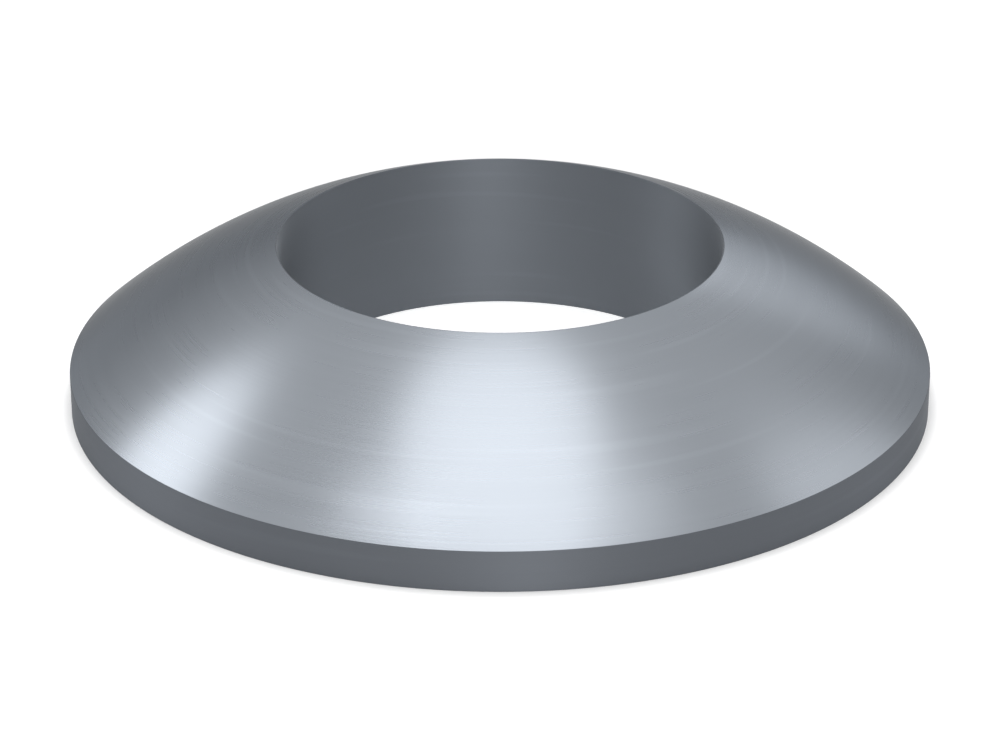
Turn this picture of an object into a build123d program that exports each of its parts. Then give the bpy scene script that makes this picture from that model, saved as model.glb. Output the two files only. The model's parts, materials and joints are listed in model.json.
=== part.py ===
"""Spherical washer: the convex half of a self-aligning washer pair, turned in one piece from steel bar.

It lies on its flat bearing face with the spherical face up. In use the spherical face sits in a
conical or dished washer and swivels there, so that a bolt can stand a few degrees off square
while the nut still bears flat on the other face.

Frame: millimetres, +Z up along the bore axis, origin on that axis in the plane of the flat face.
"""

import os
from math import asin, degrees, sqrt

from build123d import *

# Driving sizes.
OUTER_DIAMETER = 21.0
BORE_DIAMETER = 10.8
RIM_HEIGHT = 1.0
SPHERE_RADIUS = 16.0
EDGE_BREAK = 0.02


def height_on_sphere(radius_from_axis):
    """Height of the sphere's surface above its own centre, at a distance from the bore axis."""
    return sqrt(SPHERE_RADIUS**2 - radius_from_axis**2)


def angle_on_sphere(radius_from_axis):
    """Angle in degrees, at the sphere's centre, from the plane through it up to that surface."""
    return 90 - degrees(asin(radius_from_axis / SPHERE_RADIUS))


def washer_section():
    """One side of the washer cut through its axis: flat face, rim, spherical face and bore wall."""
    rim_radius = OUTER_DIAMETER / 2
    bore_radius = BORE_DIAMETER / 2
    sphere_centre = RIM_HEIGHT - height_on_sphere(rim_radius)
    rim_angle = angle_on_sphere(rim_radius)
    bore_angle = angle_on_sphere(bore_radius)

    with BuildSketch(Plane.XZ) as section:
        with BuildLine():
            flat_face = Line((bore_radius, 0), (rim_radius, 0))
            Line(flat_face @ 1, (rim_radius, RIM_HEIGHT))
            spherical_face = CenterArc((0, sphere_centre), SPHERE_RADIUS, rim_angle, bore_angle - rim_angle)
            Line(spherical_face @ 1, flat_face @ 0)
        make_face()
        fillet(section.vertices(), EDGE_BREAK)
    return section.sketch


def washer():
    """The section turned once round the bore axis."""
    return revolve(washer_section(), Axis.Z)


os.makedirs("parts", exist_ok=True)
export_step(washer(), "parts/washer.step")
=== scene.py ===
"""Looks of the spherical washer: one turned steel ring on a pale table, in soft studio light.

The ring's mesh is its section carried once round the bore axis. The section is straight lines and
arcs: flat face, rim, spherical face and bore wall, with a small round on each edge.

Frame: metres, +Z up along the bore axis, origin on that axis in the plane of the flat face.
Angles are in degrees.
"""

import json
from math import atan2, cos, degrees, pi, radians, sin, sqrt, tan

import bpy
import numpy as np
from mathutils import Matrix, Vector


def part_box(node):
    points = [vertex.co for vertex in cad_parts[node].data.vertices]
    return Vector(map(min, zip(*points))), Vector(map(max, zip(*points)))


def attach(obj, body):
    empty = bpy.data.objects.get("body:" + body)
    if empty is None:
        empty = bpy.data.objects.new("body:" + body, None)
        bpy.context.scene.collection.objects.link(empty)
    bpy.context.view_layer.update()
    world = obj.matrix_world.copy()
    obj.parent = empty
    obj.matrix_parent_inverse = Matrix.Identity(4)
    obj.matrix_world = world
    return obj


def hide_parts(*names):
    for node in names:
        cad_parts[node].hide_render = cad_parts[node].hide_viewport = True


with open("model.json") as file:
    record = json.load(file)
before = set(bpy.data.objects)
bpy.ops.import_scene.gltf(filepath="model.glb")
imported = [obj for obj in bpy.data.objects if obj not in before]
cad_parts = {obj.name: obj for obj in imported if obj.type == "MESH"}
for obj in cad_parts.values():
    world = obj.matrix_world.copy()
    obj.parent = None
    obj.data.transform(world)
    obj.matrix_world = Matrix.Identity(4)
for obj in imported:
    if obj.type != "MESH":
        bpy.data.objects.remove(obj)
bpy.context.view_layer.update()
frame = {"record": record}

MM = 0.001
TINY = 1e-6 * MM

# Sizes of the washer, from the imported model.
mounts = {mount["name"]: mount for mount in frame["record"]["mounts"]}
contact_radius, _, contact_height = mounts["spherical_face"]["pos_m"]
RIM_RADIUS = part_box("washer")[1].x
BORE_RADIUS = mounts["bore"]["dims"]["r_mm"] * MM
SPHERE_RADIUS = mounts["spherical_face"]["dims"]["r_mm"] * MM
SPHERE_CENTRE = contact_height - sqrt(SPHERE_RADIUS**2 - contact_radius**2)
EDGE_ROUND = 0.02 * MM

# Fineness of its mesh.
STEPS_ROUND = 720
STEPS_ON_EDGE = 6
STEPS_ON_SPHERE = 56
STEPS_ON_FLAT = 12
STEPS_ON_RIM = 6
STEPS_ON_BORE = 16

# Map of the ring, in shares of a turn and of the way along the section.
MAP_NAME = "OFBake"

# Three finishes of one steel, in the order of the ring's material slots: ground on the spherical
# face, turned on the rim and the flat face, and bored in the bore. Each has its linear colour, its
# roughness, how much of the colour is left at a grazing view, and how far the marks stretch the
# gloss. A quarter of a turn lays that stretch across the marks. The turned and bored colours are
# darker than the ground one partly for their duller finish and partly as painted shade, which
# stands in for dim surroundings in the gloss of the rim and the bore. The bored colour is a little
# lighter than the turned one, painted light against the shade inside the bore.
FINISHES = {
    "ground_steel": dict(colour=(0.336, 0.362, 0.398), plain_roughness=0.28, grazing=0.31, stretch=0.4),
    "turned_steel": dict(colour=(0.172, 0.186, 0.207), plain_roughness=0.6, grazing=0.6, stretch=0.85),
    "bored_steel": dict(colour=(0.247, 0.268, 0.296), plain_roughness=0.7, grazing=1.0, stretch=0.85),
}
GROUND, TURNED, BORED = range(len(FINISHES))
ACROSS_THE_MARKS = 0.25

# Turning marks: how far apart they lie, how fast they change on their way round, and how many finer
# layers they have. Of the arcs, only the strongest show.
FINE_MARKS = dict(pitch=0.09 * MM, change=1.5, detail=1.0)
BROAD_MARKS = dict(pitch=0.55 * MM, change=0.8, detail=1.0)
ARCS = dict(pitch=0.28 * MM, change=1.2, detail=0.0)
ARC_FROM = 0.62
ARC_FULL = 0.8

# What the marks do to the steel: how much lighter they make it, how deep they are, and how much
# duller it gets in them and where it was handled. The noise behind them has its mean taken off
# first, so that on average the steel stays as it is.
FINE_SHADE = 0.025
BROAD_SHADE = 0.03
ARC_SHADE = 0.04
FINE_DEPTH = 0.001 * MM
MARK_ROUGHNESS = 0.05
HANDLING_SIZE = 4 * MM
HANDLING_DETAIL = 3.0
HANDLING_ROUGHNESS = 0.05
MEAN_NOISE = 0.5

# The photograph's view: a long lens that looks down on the washer, at a point a little above the
# table. Lens and sensor are in millimetres.
VIEW_ELEVATION = 24.9
VIEW_DISTANCE = 88.9 * MM
VIEW_HEIGHT = 0.4 * MM
LENS = 130.0
SENSOR = 36.0
NEAREST = 1 * MM
FARTHEST = 20.0

# Studio: lamps stand this far off, and the table reaches past them. The table glows a little, for
# the eye and in the gloss of the steel only, so that it stays white where the washer shades it:
# painted light over that shade, brightest inside the bore. The glow dips right beside the rim,
# which paints a narrow shadow ring there on top of the washer's own shadow, and it is lower farther
# out, where it isn't needed. It comes up again towards the lamps. A white backdrop hides the
# horizon: it stands on the table as far out as the table reaches, and rises this many degrees as
# seen from the washer.
LAMP_DISTANCE = 0.6
TABLE_REACH = 1.0
TABLE_COLOUR = (0.82, 0.82, 0.82, 1)
TABLE_ROUGHNESS = 0.9
GLOW_IN_BORE = (0.53, 0.53, 0.53, 1)
GLOW_AT_RIM = (0.16, 0.16, 0.16, 1)
GLOW_AROUND = (0.36, 0.36, 0.36, 1)
GLOW_FAR = (0.1, 0.1, 0.1, 1)
SHADOW_REACH = 0.35 * MM
GLOW_REACH = 4 * MM
LIT_REACH = 0.15
BACKDROP_RISE = 7.0
BACKDROP_STEPS = 96

# The sky's strength goes from low to high between these two heights of a unit direction.
SKY_LOW = 0.634
SKY_HIGH = 0.846
SKY_FROM = 0.23
SKY_TO = 0.99

BLACK = (0, 0, 0, 1)
WHITE = (1, 1, 1, 1)

# A place times this has no height left.
LEVEL = (1, 1, 0)

# Places of the two colours and of their mix among the sockets of a Mix node, where names repeat.
FIRST_COLOUR = 6
SECOND_COLOUR = 7
MIXED_COLOUR = 2


def arc(centre, radius, start, end, steps):
    """Section points round a centre, from one angle to the other.

    A section point is its distance from the axis, its height, and the way out of the steel there as
    a unit direction (away from the axis, up).
    """
    angle = np.radians(np.linspace(start, end, steps + 1))
    out, up = np.cos(angle), np.sin(angle)
    return np.stack([centre[0] + radius * out, centre[1] + radius * up, out, up], axis=1)


def straight(start, end, steps):
    """Section points evenly spaced between two with the same way out, without the two themselves."""
    share = np.linspace(0, 1, steps + 1)[1:-1, None]
    return (1 - share) * start + share * end


def round_under_sphere(radius_from_axis):
    """Centre of an edge round that touches the sphere from inside, one round's radius below it."""
    above_centre = sqrt((SPHERE_RADIUS - EDGE_ROUND) ** 2 - radius_from_axis**2)
    return radius_from_axis, SPHERE_CENTRE + above_centre


def washer_section():
    """The closed section, from the flat face out round the rim, in over the sphere and down the bore."""
    rim_low = (RIM_RADIUS - EDGE_ROUND, EDGE_ROUND)
    rim_high = round_under_sphere(RIM_RADIUS - EDGE_ROUND)
    bore_high = round_under_sphere(BORE_RADIUS + EDGE_ROUND)
    bore_low = (BORE_RADIUS + EDGE_ROUND, EDGE_ROUND)
    rim_angle = degrees(atan2(rim_high[1] - SPHERE_CENTRE, rim_high[0]))
    bore_angle = degrees(atan2(bore_high[1] - SPHERE_CENTRE, bore_high[0]))

    rim_low_edge = arc(rim_low, EDGE_ROUND, -90, 0, STEPS_ON_EDGE)
    rim_high_edge = arc(rim_high, EDGE_ROUND, 0, rim_angle, STEPS_ON_EDGE)
    spherical_face = arc((0, SPHERE_CENTRE), SPHERE_RADIUS, rim_angle, bore_angle, STEPS_ON_SPHERE)
    bore_high_edge = arc(bore_high, EDGE_ROUND, bore_angle, 180, STEPS_ON_EDGE)
    bore_low_edge = arc(bore_low, EDGE_ROUND, 180, 270, STEPS_ON_EDGE)
    return np.concatenate([
        rim_low_edge,
        straight(rim_low_edge[-1], rim_high_edge[0], STEPS_ON_RIM),
        rim_high_edge,
        spherical_face[1:-1],
        bore_high_edge,
        straight(bore_high_edge[-1], bore_low_edge[0], STEPS_ON_BORE),
        bore_low_edge,
        straight(bore_low_edge[-1], rim_low_edge[0], STEPS_ON_FLAT),
    ])


def carried_round(section, steps):
    """Points, faces and normals of the ring.

    Section point i at turn j is (r cos a, r sin a, z) with a = 2 pi j / steps, and both ways close
    up. The normals are the section's ways out, turned by the same angle.
    """
    angle = 2 * pi * np.arange(steps) / steps

    def turned(out, up):
        around = np.outer(out, np.cos(angle)), np.outer(out, np.sin(angle)), np.outer(up, np.ones(steps))
        return np.stack(around, axis=-1).reshape(-1, 3)

    points = turned(section[:, 0], section[:, 1])
    normals = turned(section[:, 2], section[:, 3])
    place = np.arange(len(points)).reshape(len(section), steps)
    beside = np.roll(place, -1, axis=1)
    faces = np.stack([place, beside, np.roll(beside, -1, axis=0), np.roll(place, -1, axis=0)], axis=-1)
    return points, faces.reshape(-1, 4), normals


def mesh_from(name, points, faces):
    """Smooth shaded object with its place in its mesh."""
    mesh = bpy.data.meshes.new(name)
    mesh.from_pydata(points.tolist(), [], faces.tolist())
    mesh.shade_smooth()
    piece = bpy.data.objects.new(name, mesh)
    bpy.context.scene.collection.objects.link(piece)
    return piece


def lay_map(piece, section, steps):
    """Lays the ring flat: across is the share of a turn, up the share of the way along the section.

    The four corners of a face come in the order in which carried_round lists them.
    """
    stretch = np.linalg.norm(np.diff(section[:, :2], axis=0, append=section[:1, :2]), axis=1)
    along = np.append(0, np.cumsum(stretch)) / stretch.sum()
    row, turn = np.indices((len(section), steps))
    across = (turn[..., None] + np.array([0, 1, 1, 0])) / steps
    up = along[row[..., None] + np.array([0, 0, 1, 1])]
    corners = np.stack([across, up], axis=-1).astype(np.float32)
    piece.data.uv_layers.new(name=MAP_NAME).uv.foreach_set("vector", corners.ravel())


class Socket:
    """An output of a shader node. Sums with other sockets and with numbers add their Math nodes."""

    def __init__(self, tree, link):
        self.tree = tree
        self.link = link

    @classmethod
    def node(cls, tree, kind, settings=None, inputs=None, output=0):
        """A node of that kind, with its settings, then the values or links of its sockets."""
        made = tree.nodes.new(kind)
        for name, value in (settings or {}).items():
            setattr(made, name, value)
        for name, value in (inputs or {}).items():
            if isinstance(value, cls):
                tree.links.new(value.link, made.inputs[name])
            else:
                made.inputs[name].default_value = value
        return cls(tree, made.outputs[output])

    def shown_by(self, kind):
        """Ends the tree with an output node of that kind, which shows this surface or background."""
        output = self.tree.nodes.new(kind)
        self.tree.links.new(self.link, output.inputs["Surface"])

    def math(self, operation, first, second):
        """A Math node on two sockets or numbers."""
        return self.node(self.tree, "ShaderNodeMath", {"operation": operation}, {0: first, 1: second})

    def __add__(self, other):
        return self.math("ADD", self, other)

    def __sub__(self, other):
        return self.math("SUBTRACT", self, other)

    def __rsub__(self, other):
        return self.math("SUBTRACT", other, self)

    def __mul__(self, other):
        return self.math("MULTIPLY", self, other)

    __radd__ = __add__
    __rmul__ = __mul__

    def vector(self, operation, inputs=None, output="Vector"):
        """A Vector Math node whose first vector is this one."""
        inputs = {0: self, **(inputs or {})}
        return self.node(self.tree, "ShaderNodeVectorMath", {"operation": operation}, inputs, output)

    def other(self, output):
        """Another output of the same node."""
        return Socket(self.tree, self.link.node.outputs[output])

    def between(self, low, high):
        """0 below low, 1 above high, and a smooth step from one to the other."""
        inputs = {"Value": self, "From Min": low, "From Max": high}
        return self.node(self.tree, "ShaderNodeMapRange", {"interpolation_type": "SMOOTHSTEP"}, inputs)

    def blend(self, first, second):
        """Colour that goes from the first to the second as this value goes from 0 to 1."""
        inputs = {"Factor": self, FIRST_COLOUR: first, SECOND_COLOUR: second}
        return self.node(self.tree, "ShaderNodeMix", {"data_type": "RGBA"}, inputs, MIXED_COLOUR)


def empty_tree(owner):
    """The node tree of a new material or world, with no node in it yet."""
    owner.use_nodes = True
    owner.node_tree.nodes.clear()
    return owner.node_tree


def principled(tree, inputs):
    """Ends a material with a Principled surface that has these values or links in its sockets."""
    Socket.node(tree, "ShaderNodeBsdfPrincipled", inputs=inputs).shown_by("ShaderNodeOutputMaterial")


def noise(place, scale, detail):
    """Smooth noise from 0 to 1 at a place."""
    inputs = {"Vector": place, "Scale": scale, "Detail": detail}
    return Socket.node(place.tree, "ShaderNodeTexNoise", inputs=inputs, output="Fac")


def steel(name, colour, plain_roughness, grazing, stretch):
    """Cool grey steel with marks that run round the axis.

    A set of marks is noise on (ring / pitch, c cos a, c sin a): a is the angle about the axis, c is
    small, so a mark changes slowly on its way round, and the ring is the distance from the axis less
    the height, which changes steadily along each face of the section.
    """
    material = bpy.data.materials.new(name)
    tree = empty_tree(material)

    place = Socket.node(tree, "ShaderNodeTexCoord", output="Object")
    from_axis = place.vector("MULTIPLY", {1: LEVEL})
    height = Socket.node(tree, "ShaderNodeSeparateXYZ", inputs={"Vector": place}, output="Z")
    ring = from_axis.vector("LENGTH", output="Value") - height
    cosine = Socket.node(tree, "ShaderNodeSeparateXYZ", inputs={"Vector": from_axis.vector("NORMALIZE")})
    sine = cosine.other("Y")

    def marks(pitch, change, detail):
        inputs = {"X": ring * (1 / pitch), "Y": cosine * change, "Z": sine * change}
        return noise(Socket.node(tree, "ShaderNodeCombineXYZ", inputs=inputs), scale=1.0, detail=detail)

    fine_marks = marks(**FINE_MARKS)
    broad_marks = marks(**BROAD_MARKS)
    arcs = marks(**ARCS).between(ARC_FROM, ARC_FULL)
    handling = noise(place, scale=1 / HANDLING_SIZE, detail=HANDLING_DETAIL)

    shade = 1 + (broad_marks - MEAN_NOISE) * BROAD_SHADE + (fine_marks - MEAN_NOISE) * FINE_SHADE
    shade = shade + arcs * ARC_SHADE
    shaded = Socket.node(tree, "ShaderNodeVectorMath", {"operation": "SCALE"}, {0: colour, "Scale": shade})
    roughness = plain_roughness + (fine_marks - MEAN_NOISE) * MARK_ROUGHNESS
    roughness = roughness + (handling - MEAN_NOISE) * HANDLING_ROUGHNESS
    grooves = Socket.node(tree, "ShaderNodeBump", inputs={"Distance": FINE_DEPTH, "Height": fine_marks})
    principled(tree, {
        "Base Color": shaded,
        "Metallic": 1.0,
        "Roughness": roughness,
        "Specular Tint": (grazing, grazing, grazing, 1),
        "Anisotropic": stretch,
        "Anisotropic Rotation": ACROSS_THE_MARKS,
        "Normal": grooves,
    })
    return material


def slots_along(section):
    """The material slot from each section point to the next: ground where both are on the sphere."""
    from_axis, height = section[:, 0], section[:, 1]
    on_sphere = np.hypot(from_axis, height - SPHERE_CENTRE) > SPHERE_RADIUS - TINY
    ground = on_sphere & np.roll(on_sphere, -1)
    bored = (from_axis + np.roll(from_axis, -1)) / 2 < BORE_RADIUS + EDGE_ROUND
    return np.select([ground, bored], [GROUND, BORED], TURNED)


def washer():
    """The ring, in place of its solid."""
    section = washer_section()
    points, faces, normals = carried_round(section, STEPS_ROUND)
    piece = mesh_from("turned_washer", points, faces)
    piece.data.normals_split_custom_set_from_vertices(normals.tolist())
    lay_map(piece, section, STEPS_ROUND)

    for name, finish in FINISHES.items():
        piece.data.materials.append(steel(name, **finish))
    slots = np.repeat(slots_along(section), STEPS_ROUND).astype(np.int32)
    piece.data.polygons.foreach_set("material_index", slots)
    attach(piece, "root")
    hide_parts("washer")


def seen_directly(tree):
    """1 for rays from the eye, straight or by way of gloss or glass, and 0 for all others."""
    ray = Socket.node(tree, "ShaderNodeLightPath", output="Is Camera Ray")
    return ray + ray.other("Is Glossy Ray") + ray.other("Is Transmission Ray")


def table():
    """Plain pale table top under the washer."""
    reach = TABLE_REACH
    points = np.array([(-reach, -reach, 0), (reach, -reach, 0), (reach, reach, 0), (-reach, reach, 0)])
    piece = mesh_from("table", points, np.array([(0, 1, 2, 3)]))
    material = bpy.data.materials.new("pale_table")
    tree = empty_tree(material)
    place = Socket.node(tree, "ShaderNodeTexCoord", output="Object")
    from_axis = place.vector("MULTIPLY", {1: LEVEL}).vector("LENGTH", output="Value")
    # Painted light and shade in the glow: more of it in the bore over the hole's shade, a dip beside the
    # rim that paints a shadow ring, and less farther out.
    shadow_edge = RIM_RADIUS + SHADOW_REACH
    under = from_axis.between(BORE_RADIUS, RIM_RADIUS).blend(GLOW_IN_BORE, GLOW_AT_RIM)
    beside = from_axis.between(RIM_RADIUS, shadow_edge).blend(under, GLOW_AROUND)
    around = from_axis.between(shadow_edge, RIM_RADIUS + GLOW_REACH).blend(beside, GLOW_FAR)
    glow = from_axis.between(LIT_REACH, LAMP_DISTANCE).blend(around, WHITE)
    principled(tree, {
        "Base Color": TABLE_COLOUR,
        "Roughness": TABLE_ROUGHNESS,
        "Specular IOR Level": 0.0,
        "Emission Color": seen_directly(tree).blend(BLACK, glow),
        "Emission Strength": 1.0,
    })
    piece.data.materials.append(material)


def backdrop():
    """White band that stands on the table: (R cos a, R sin a, z), with z from 0 to its height."""
    angle = 2 * pi * np.arange(BACKDROP_STEPS) / BACKDROP_STEPS
    foot = TABLE_REACH * np.stack([np.cos(angle), np.sin(angle), np.zeros(BACKDROP_STEPS)], axis=1)
    height = TABLE_REACH * tan(radians(BACKDROP_RISE))
    place = np.arange(BACKDROP_STEPS)
    beside = np.roll(place, -1)
    faces = np.stack([place, place + BACKDROP_STEPS, beside + BACKDROP_STEPS, beside], axis=1)
    piece = mesh_from("backdrop", np.concatenate([foot, foot + (0, 0, height)]), faces)
    material = bpy.data.materials.new("white_backdrop")
    tree = empty_tree(material)
    principled(tree, {
        "Base Color": BLACK,
        "Specular IOR Level": 0.0,
        "Emission Color": seen_directly(tree).blend(BLACK, WHITE),
        "Emission Strength": 1.0,
    })
    piece.data.materials.append(material)


def turn_about(axis, angle):
    """The 4 by 4 matrix of a turn about an axis."""
    return Matrix.Rotation(radians(angle), 4, axis)


def softbox(name, azimuth, elevation, width, height, turn, brightness):
    """An oval lamp that faces the washer, width by height degrees across, turned about its own middle.

    Azimuth 0 is the camera's side and 90 is its right. The lamp's power is pi times its area times
    its brightness.
    """
    light = bpy.data.lights.new(name, "AREA")
    light.shape = "ELLIPSE"
    light.size = 2 * LAMP_DISTANCE * tan(radians(width / 2))
    light.size_y = 2 * LAMP_DISTANCE * tan(radians(height / 2))
    light.energy = brightness * pi * (pi / 4 * light.size * light.size_y)
    lamp = bpy.data.objects.new(name, light)
    swing = turn_about("Z", azimuth) @ turn_about("X", 90 - elevation)
    out = Matrix.Translation((0, 0, LAMP_DISTANCE))
    lamp.matrix_world = swing @ out @ turn_about("Z", turn)
    lamp.visible_camera = False
    bpy.context.scene.collection.objects.link(lamp)


def sky():
    """Soft light from all round, dimmer near the table."""
    world = bpy.data.worlds.new("studio")
    tree = empty_tree(world)
    direction = Socket.node(tree, "ShaderNodeTexCoord", output="Generated")
    upwards = Socket.node(tree, "ShaderNodeSeparateXYZ", inputs={"Vector": direction}, output="Z")
    strength = SKY_LOW + upwards.between(SKY_FROM, SKY_TO) * (SKY_HIGH - SKY_LOW)
    background = Socket.node(tree, "ShaderNodeBackground", inputs={"Color": WHITE, "Strength": strength})
    background.shown_by("ShaderNodeOutputWorld")
    bpy.context.scene.world = world


def camera():
    """The photograph's viewpoint."""
    lens = bpy.data.cameras.new("camera")
    lens.lens = LENS
    lens.sensor_width = SENSOR
    lens.clip_start = NEAREST
    lens.clip_end = FARTHEST
    viewer = bpy.data.objects.new("camera", lens)
    down = radians(VIEW_ELEVATION)
    viewer.location = (0, -VIEW_DISTANCE * cos(down), VIEW_HEIGHT + VIEW_DISTANCE * sin(down))
    viewer.rotation_euler = (pi / 2 - down, 0, 0)
    bpy.context.scene.collection.objects.link(viewer)
    bpy.context.scene.camera = viewer


washer()
table()
backdrop()

# The three overhead lamps make the broad highlight at the front of the spherical face, the low one
# the light band in the bore and on the rim, and the others the streaks to the left and the right.
softbox("overhead", azimuth=0, elevation=86.8, width=32.2, height=57.9, turn=0.4, brightness=1.59)
softbox("overhead_left", azimuth=-55, elevation=67.3, width=22.3, height=6.5, turn=6, brightness=2.11)
softbox("overhead_right", azimuth=50.7, elevation=66.4, width=27.9, height=10.4, turn=-0.5, brightness=0.93)
softbox("front_low", azimuth=7, elevation=20, width=20, height=38, turn=0, brightness=2.8)
softbox("left", azimuth=-108.5, elevation=32.7, width=21.2, height=43.1, turn=51.4, brightness=2.05)
softbox("right", azimuth=109.6, elevation=24.8, width=51.9, height=27, turn=-70.6, brightness=0.69)
softbox("right_back", azimuth=158.6, elevation=23, width=24.5, height=35.9, turn=-35.7, brightness=0.75)

sky()
camera()
bpy.context.scene.view_settings.view_transform = "Standard"
